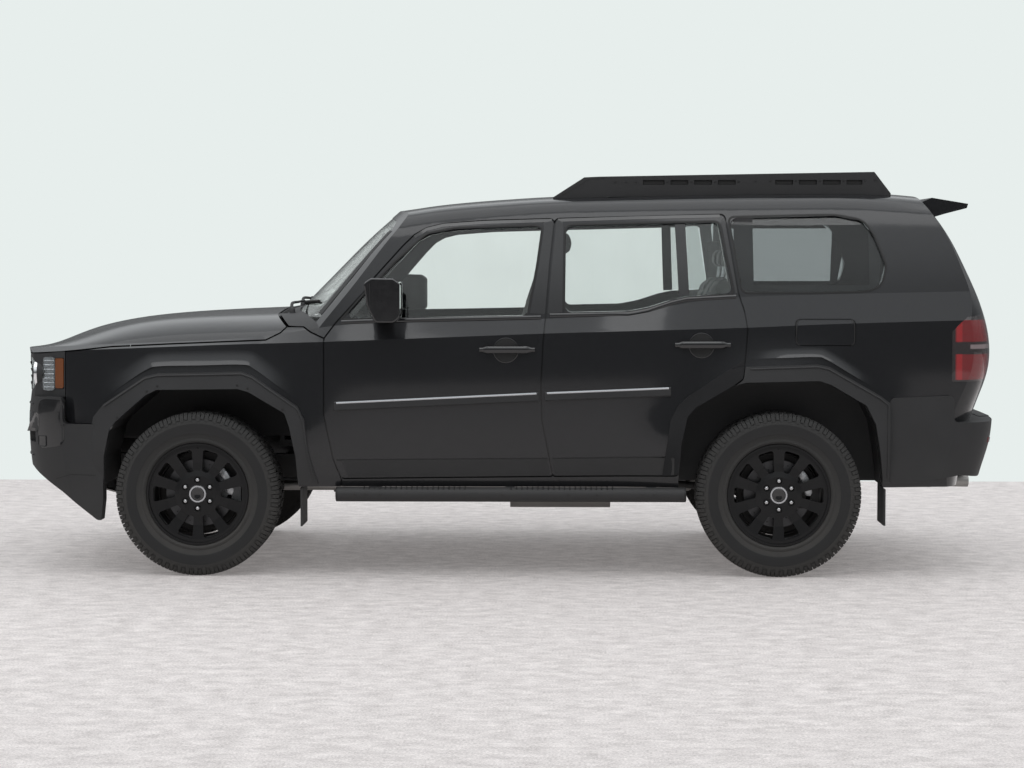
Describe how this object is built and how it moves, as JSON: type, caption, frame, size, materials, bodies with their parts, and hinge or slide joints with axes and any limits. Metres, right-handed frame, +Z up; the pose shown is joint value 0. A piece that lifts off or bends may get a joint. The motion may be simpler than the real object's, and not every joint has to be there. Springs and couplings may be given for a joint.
{
  "type": "off-road wagon",
  "caption": "Tall five-door four-wheel-drive wagon with open doors, hood and tailgate, steered front wheels, cabin seats, roof rack and side steps.",
  "frame": {"origin": "middle of the overall length and width, on the ground", "axes": "+Z up, the front faces -X, the vehicle's left side faces -Y"},
  "size_m": [4.9037, 2.277, 1.9892],
  "materials": {
    "body_paint": "dark grey metallic gloss paint",
    "black_trim": "matte black grained plastic",
    "gloss_trim": "gloss black plastic",
    "clear_glass": "clear glass with a slight green cast",
    "dark_glass": "dark privacy glass",
    "lamp_lens": "clear lamp lens",
    "red_lens": "red lamp lens",
    "tyre": "black rubber with deep tread",
    "wheel_alloy": "satin black painted alloy",
    "chassis_steel": "satin black chassis paint",
    "cast_metal": "dull grey cast metal",
    "exhaust_steel": "dull stainless steel",
    "cabin_trim": "dark grey cabin plastic",
    "seat_cover": "black seat cover"
  },
  "bodies": {
    "body": {"arch_flares": "black_trim", "arch_liners": "black_trim", "cowl": "black_trim", "crossmembers": "chassis_steel", "dashboard": "cabin_trim", "driveline": "cast_metal", "engine_block": "cast_metal", "exhaust": "exhaust_steel", "fenders": "body_paint", "floor_pan": "chassis_steel", "frame_rails": "chassis_steel", "front_bumper": "black_trim", "front_seats": "seat_cover", "fuel_tank": "chassis_steel", "grille_panel": "black_trim", "headlamps": "lamp_lens", "mud_flaps": "black_trim", "quarter_glass": "dark_glass", "rear_axle": "chassis_steel", "rear_bumper": "black_trim", "rear_seat": "seat_cover", "roof_panel": "body_paint", "roof_rack": "black_trim", "side_left": "body_paint", "side_right": "body_paint", "side_steps": "black_trim", "springs": "chassis_steel", "suspension_arms": "chassis_steel", "tail_lamps": "red_lens", "windscreen": "clear_glass"},
    "hood": {"hood": "body_paint"},
    "tailgate": {"tailgate": "body_paint", "tailgate_glass": "dark_glass"},
    "fuel_lid": {"fuel_lid": "body_paint"},
    "steering_wheel": {"steering_wheel": "cabin_trim"},
    "door_front_left": {"front_door_left": "body_paint", "front_window_left": "clear_glass", "mirror_left": "gloss_trim"},
    "door_front_right": {"front_door_right": "body_paint", "front_window_right": "clear_glass", "mirror_right": "gloss_trim"},
    "door_rear_left": {"rear_door_left": "body_paint", "rear_window_left": "dark_glass"},
    "door_rear_right": {"rear_door_right": "body_paint", "rear_window_right": "dark_glass"},
    "upright_left": {"knuckle_left": "cast_metal"},
    "upright_right": {"knuckle_right": "cast_metal"},
    "wheel_front_left": {"tyre_front_left": "tyre", "rim_front_left": "wheel_alloy"},
    "wheel_front_right": {"tyre_front_right": "tyre", "rim_front_right": "wheel_alloy"},
    "wheel_rear_left": {"tyre_rear_left": "tyre", "rim_rear_left": "wheel_alloy"},
    "wheel_rear_right": {"tyre_rear_right": "tyre", "rim_rear_right": "wheel_alloy"}
  },
  "joints": [
    {"name": "hood_hinge", "type": "hinge", "parent": "body", "child": "hood", "pos_m": [-1.0835, 0, 1.311], "axis": [0, 1, 0], "range_deg": [0, 50]},
    {"name": "tailgate_hinge", "type": "hinge", "parent": "body", "child": "tailgate", "pos_m": [2.05373, 0, 1.862], "axis": [0, -1, 0], "range_deg": [0, 70]},
    {"name": "fuel_lid_hinge", "type": "hinge", "parent": "body", "child": "fuel_lid", "pos_m": [1.40559, -0.93654, 1.16375], "axis": [0, 0, -1], "range_deg": [0, 90]},
    {"name": "steering_wheel_turn", "type": "hinge", "parent": "body", "child": "steering_wheel", "pos_m": [-0.64025, -0.38016, 1.1495], "axis": [0.933, 0, 0.3599], "range_deg": [-500, 500]},
    {"name": "door_front_left_hinge", "type": "hinge", "parent": "body", "child": "door_front_left", "pos_m": [-0.89482, -0.949, 0.855], "axis": [0, 0, -1], "range_deg": [0, 65]},
    {"name": "door_rear_left_hinge", "type": "hinge", "parent": "body", "child": "door_rear_left", "pos_m": [0.168, -0.9445, 0.855], "axis": [0, 0, -1], "range_deg": [0, 65]},
    {"name": "steer_left", "type": "hinge", "parent": "body", "child": "upright_left", "pos_m": [-1.5225, -0.782, 0.403], "axis": [0, 0, 1], "range_deg": [-33, 33]},
    {"name": "wheel_front_left_spin", "type": "hinge", "parent": "upright_left", "child": "wheel_front_left", "pos_m": [-1.5225, -0.832, 0.403], "axis": [0, -1, 0], "continuous": true},
    {"name": "wheel_rear_left_spin", "type": "hinge", "parent": "body", "child": "wheel_rear_left", "pos_m": [1.3275, -0.832, 0.403], "axis": [0, -1, 0], "continuous": true},
    {"name": "door_front_right_hinge", "type": "hinge", "parent": "body", "child": "door_front_right", "pos_m": [-0.89482, 0.949, 0.855], "axis": [0, 0, 1], "range_deg": [0, 65]},
    {"name": "door_rear_right_hinge", "type": "hinge", "parent": "body", "child": "door_rear_right", "pos_m": [0.168, 0.9445, 0.855], "axis": [0, 0, 1], "range_deg": [0, 65]},
    {"name": "steer_right", "type": "hinge", "parent": "body", "child": "upright_right", "pos_m": [-1.5225, 0.782, 0.403], "axis": [0, 0, 1], "range_deg": [-33, 33]},
    {"name": "wheel_front_right_spin", "type": "hinge", "parent": "upright_right", "child": "wheel_front_right", "pos_m": [-1.5225, 0.832, 0.403], "axis": [0, -1, 0], "continuous": true},
    {"name": "wheel_rear_right_spin", "type": "hinge", "parent": "body", "child": "wheel_rear_right", "pos_m": [1.3275, 0.832, 0.403], "axis": [0, -1, 0], "continuous": true}
  ],
  "couplings": [
    {"joint": "steer_right", "follows": "steer_left", "ratio": 1}
  ]
}
